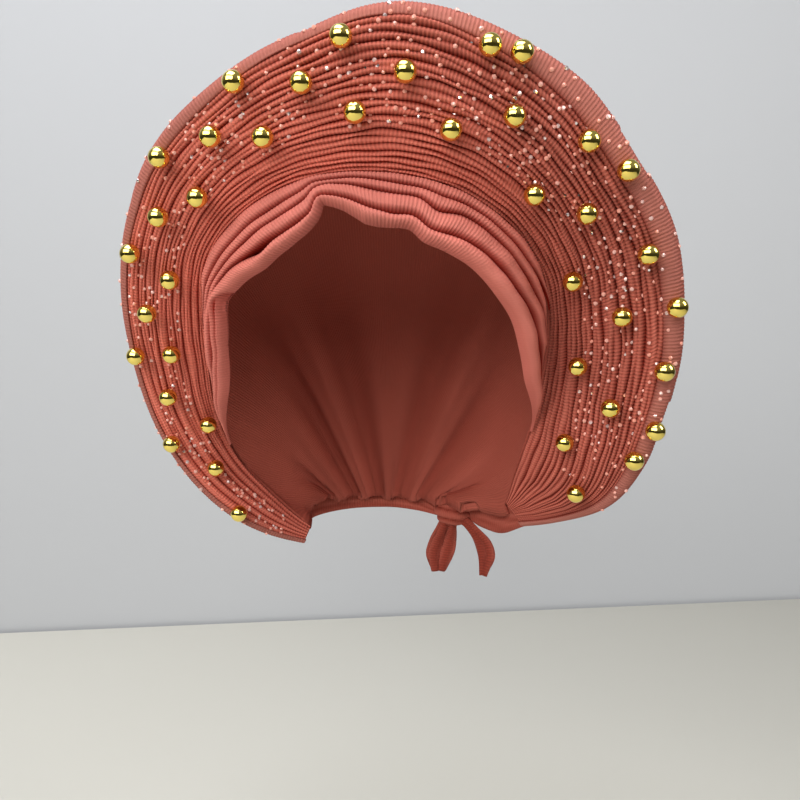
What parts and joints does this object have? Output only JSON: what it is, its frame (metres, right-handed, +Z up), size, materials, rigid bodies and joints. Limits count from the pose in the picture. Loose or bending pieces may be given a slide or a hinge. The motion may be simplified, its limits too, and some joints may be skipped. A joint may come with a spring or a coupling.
{
  "type": "tied gele head tie",
  "caption": "Ribbed coral head tie, tied and held in shape: a pleated halo brim sewn with gold beads, draped brow folds, a gathered cap and a knot at the nape.",
  "frame": {"origin": "the point under the crown's cloth where it rests on the top of the wearer's head", "axes": "+Z up along the wearer's head, -Y the way the wearer looks, +X the wearer's left"},
  "size_m": [0.2875, 0.2156, 0.3051],
  "materials": {
    "pleat_cloth": "matt",
    "brow_cloth": "matt",
    "cap_cloth": "matt",
    "gold_plate": "polished"
  },
  "bodies": {
    "root": {"pleated_brim": "pleat_cloth", "rim_fold": "pleat_cloth", "brow_fold_1": "brow_cloth", "brow_fold_2": "brow_cloth", "brow_fold_3": "brow_cloth", "brow_fold_4": "brow_cloth", "crown_cap": "cap_cloth", "nape_strap_left": "cap_cloth", "nape_strap_right": "cap_cloth", "nape_knot": "cap_cloth", "tie_tail_side": "cap_cloth", "tie_tail_back": "cap_cloth", "gold_bead_01": "gold_plate", "gold_bead_02": "gold_plate", "gold_bead_03": "gold_plate", "gold_bead_04": "gold_plate", "gold_bead_05": "gold_plate", "gold_bead_06": "gold_plate", "gold_bead_07": "gold_plate", "gold_bead_08": "gold_plate", "gold_bead_09": "gold_plate", "gold_bead_10": "gold_plate", "gold_bead_11": "gold_plate", "gold_bead_12": "gold_plate", "gold_bead_13": "gold_plate", "gold_bead_14": "gold_plate", "gold_bead_15": "gold_plate", "gold_bead_16": "gold_plate", "gold_bead_17": "gold_plate", "gold_bead_18": "gold_plate", "gold_bead_19": "gold_plate", "gold_bead_20": "gold_plate", "gold_bead_21": "gold_plate", "gold_bead_22": "gold_plate", "gold_bead_23": "gold_plate", "gold_bead_24": "gold_plate", "gold_bead_25": "gold_plate", "gold_bead_26": "gold_plate", "gold_bead_27": "gold_plate", "gold_bead_28": "gold_plate", "gold_bead_29": "gold_plate", "gold_bead_30": "gold_plate", "gold_bead_31": "gold_plate", "gold_bead_32": "gold_plate", "gold_bead_33": "gold_plate", "gold_bead_34": "gold_plate", "gold_bead_35": "gold_plate", "gold_bead_36": "gold_plate", "gold_bead_37": "gold_plate", "gold_bead_38": "gold_plate", "gold_bead_39": "gold_plate"}
  },
  "joints": []
}
